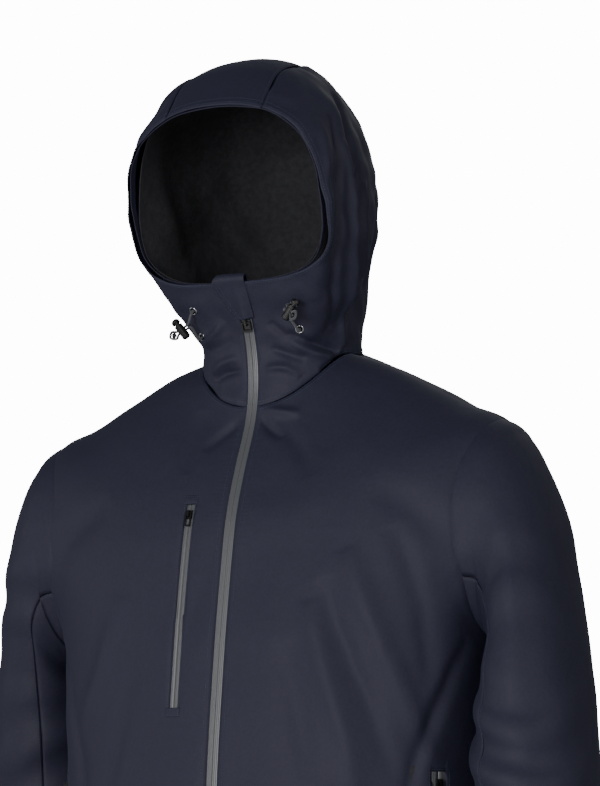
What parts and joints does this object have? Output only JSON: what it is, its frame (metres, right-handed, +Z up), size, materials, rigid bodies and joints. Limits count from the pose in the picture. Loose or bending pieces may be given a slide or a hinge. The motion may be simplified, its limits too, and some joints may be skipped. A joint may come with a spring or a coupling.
{
  "type": "foul weather jacket",
  "caption": "Hooded foul weather jacket with a zipped front, high collar, pocket zips, drawcord locks at the hood and adjustable cuffs.",
  "frame": {"origin": "centre of the neck at shoulder height, where the jacket hangs on the wearer's shoulders", "axes": "+X to the wearer's left, +Y to the wearer's back, +Z up"},
  "size_m": [0.7474, 0.307, 1.0644],
  "materials": {
    "shell_fabric": "fine plain-woven waterproof shell, matt",
    "lining_fabric": "soft matt knit",
    "zip_tape": "laminated water-repellent tape, satin",
    "slider_metal": "black enamel",
    "pull_plastic": "satin moulded",
    "eyelet_metal": "dark nickel plate",
    "elastic_cord": "braided",
    "lock_plastic": "semi-gloss moulded",
    "strap_webbing": "narrow woven tape"
  },
  "bodies": {
    "body": {"back_panel": "shell_fabric", "body_lining_back": "lining_fabric", "body_lining_left": "lining_fabric", "body_lining_right": "lining_fabric", "chest_garage_bottom": "shell_fabric", "chest_garage_top": "shell_fabric", "chest_pocket_bag": "lining_fabric", "chest_zip_tape_inner": "zip_tape", "chest_zip_tape_outer": "zip_tape", "chin_guard": "shell_fabric", "eyelet_lower_left": "eyelet_metal", "eyelet_lower_right": "eyelet_metal", "eyelet_upper_left": "eyelet_metal", "eyelet_upper_right": "eyelet_metal", "front_panel_left": "shell_fabric", "front_panel_right": "shell_fabric", "hand_pocket_bag_left": "lining_fabric", "hand_pocket_bag_right": "lining_fabric", "hand_zip_tape_inner_left": "zip_tape", "hand_zip_tape_inner_right": "zip_tape", "hand_zip_tape_outer_left": "zip_tape", "hand_zip_tape_outer_right": "zip_tape", "hanger_loop": "strap_webbing", "hood_centre_panel": "shell_fabric", "hood_facing": "shell_fabric", "hood_lining": "lining_fabric", "hood_side_left": "shell_fabric", "hood_side_right": "shell_fabric", "inner_storm_flap": "shell_fabric", "main_zip_tape_left": "zip_tape", "main_zip_tape_right": "zip_tape"},
    "right_sleeve": {"sleeve_upper_right": "shell_fabric", "sleeve_under_right": "shell_fabric", "sleeve_lining_right": "lining_fabric"},
    "right_cuff_tab": {"cuff_tab_right": "shell_fabric"},
    "left_sleeve": {"sleeve_upper_left": "shell_fabric", "sleeve_under_left": "shell_fabric", "sleeve_lining_left": "lining_fabric"},
    "left_cuff_tab": {"cuff_tab_left": "shell_fabric"},
    "main_slider": {"main_slider": "slider_metal"},
    "main_pull": {"main_pull": "pull_plastic"},
    "chest_slider": {"chest_slider": "slider_metal"},
    "chest_pull": {"chest_pull": "pull_plastic"},
    "right_hand_slider": {"hand_slider_right": "slider_metal"},
    "right_hand_pull": {"hand_pull_right": "pull_plastic"},
    "right_lock": {"cord_lock_right": "lock_plastic", "cord_loop_right": "elastic_cord", "cord_bead_right": "lock_plastic"},
    "right_plunger": {"lock_plunger_right": "lock_plastic"},
    "left_hand_slider": {"hand_slider_left": "slider_metal"},
    "left_hand_pull": {"hand_pull_left": "pull_plastic"},
    "left_lock": {"cord_lock_left": "lock_plastic", "cord_loop_left": "elastic_cord", "cord_bead_left": "lock_plastic"},
    "left_plunger": {"lock_plunger_left": "lock_plastic"}
  },
  "joints": [
    {"name": "main_zip_run", "type": "hinge", "parent": "body", "child": "main_slider", "pos_m": [0, -0.2, -0.033], "axis": [-1, 0, 0], "range_deg": [0, 44]},
    {"name": "main_pull_swing", "type": "hinge", "parent": "main_slider", "child": "main_pull", "pos_m": [0, -0.08096, 0.02592], "axis": [-1, 0, 0], "range_deg": [0, 80]},
    {"name": "chest_zip_run", "type": "hinge", "parent": "body", "child": "chest_slider", "pos_m": [0, 1.24437, -0.49707], "axis": [1, 0, 0], "range_deg": [0, 7.2]},
    {"name": "chest_pull_swing", "type": "hinge", "parent": "chest_slider", "child": "chest_pull", "pos_m": [-0.04806, -0.11164, -0.16939], "axis": [-0.9994, 0.033, -0.008], "range_deg": [0, 120]},
    {"name": "right_hand_zip_run", "type": "hinge", "parent": "body", "child": "right_hand_slider", "pos_m": [0, -2.97994, -0.45843], "axis": [-1, 0, 0], "range_deg": [0, 3.04]},
    {"name": "right_hand_pull_swing", "type": "hinge", "parent": "right_hand_slider", "child": "right_hand_pull", "pos_m": [-0.2106, -0.07509, -0.43981], "axis": [-0.541, 0.841, 0.005], "range_deg": [0, 120]},
    {"name": "right_lock_swing", "type": "hinge", "parent": "body", "child": "right_lock", "pos_m": [-0.056, -0.06979, 0.017], "axis": [0.0678, 0.5264, -0.8475], "range_deg": [-15, 15], "stiffness_Nm_per_rad": 0.05},
    {"name": "right_plunger_press", "type": "slide", "parent": "right_lock", "child": "right_plunger", "axis": [0.6211, 0.05, -0.7821], "range_m": [0, 0.003], "stiffness_N_per_m": 800, "springref_m": -0.003},
    {"name": "right_cuff_tab_peel", "type": "hinge", "parent": "right_sleeve", "child": "right_cuff_tab", "pos_m": [-0.34428, 0.11348, -0.64724], "axis": [-0.0544, -0.0763, -0.9956], "range_deg": [0, 60]},
    {"name": "right_sleeve_swing", "type": "hinge", "parent": "body", "child": "right_sleeve", "pos_m": [-0.236, 0, -0.075], "axis": [0, 1, 0], "range_deg": [0, 35]},
    {"name": "left_hand_zip_run", "type": "hinge", "parent": "body", "child": "left_hand_slider", "pos_m": [0, -2.97994, -0.45843], "axis": [-1, 0, 0], "range_deg": [0, 3.04]},
    {"name": "left_hand_pull_swing", "type": "hinge", "parent": "left_hand_slider", "child": "left_hand_pull", "pos_m": [0.2106, -0.07509, -0.43981], "axis": [-0.541, -0.841, -0.005], "range_deg": [0, 120]},
    {"name": "left_lock_swing", "type": "hinge", "parent": "body", "child": "left_lock", "pos_m": [0.056, -0.06979, 0.017], "axis": [0.0678, -0.5264, 0.8475], "range_deg": [-15, 15], "stiffness_Nm_per_rad": 0.05},
    {"name": "left_plunger_press", "type": "slide", "parent": "left_lock", "child": "left_plunger", "axis": [-0.6211, 0.05, -0.7821], "range_m": [0, 0.003], "stiffness_N_per_m": 800, "springref_m": -0.003},
    {"name": "left_cuff_tab_peel", "type": "hinge", "parent": "left_sleeve", "child": "left_cuff_tab", "pos_m": [0.34428, 0.00171, -0.64724], "axis": [-0.0541, 0.1378, 0.989], "range_deg": [0, 60]},
    {"name": "left_sleeve_swing", "type": "hinge", "parent": "body", "child": "left_sleeve", "pos_m": [0.236, 0, -0.075], "axis": [0, -1, 0], "range_deg": [0, 35]}
  ]
}
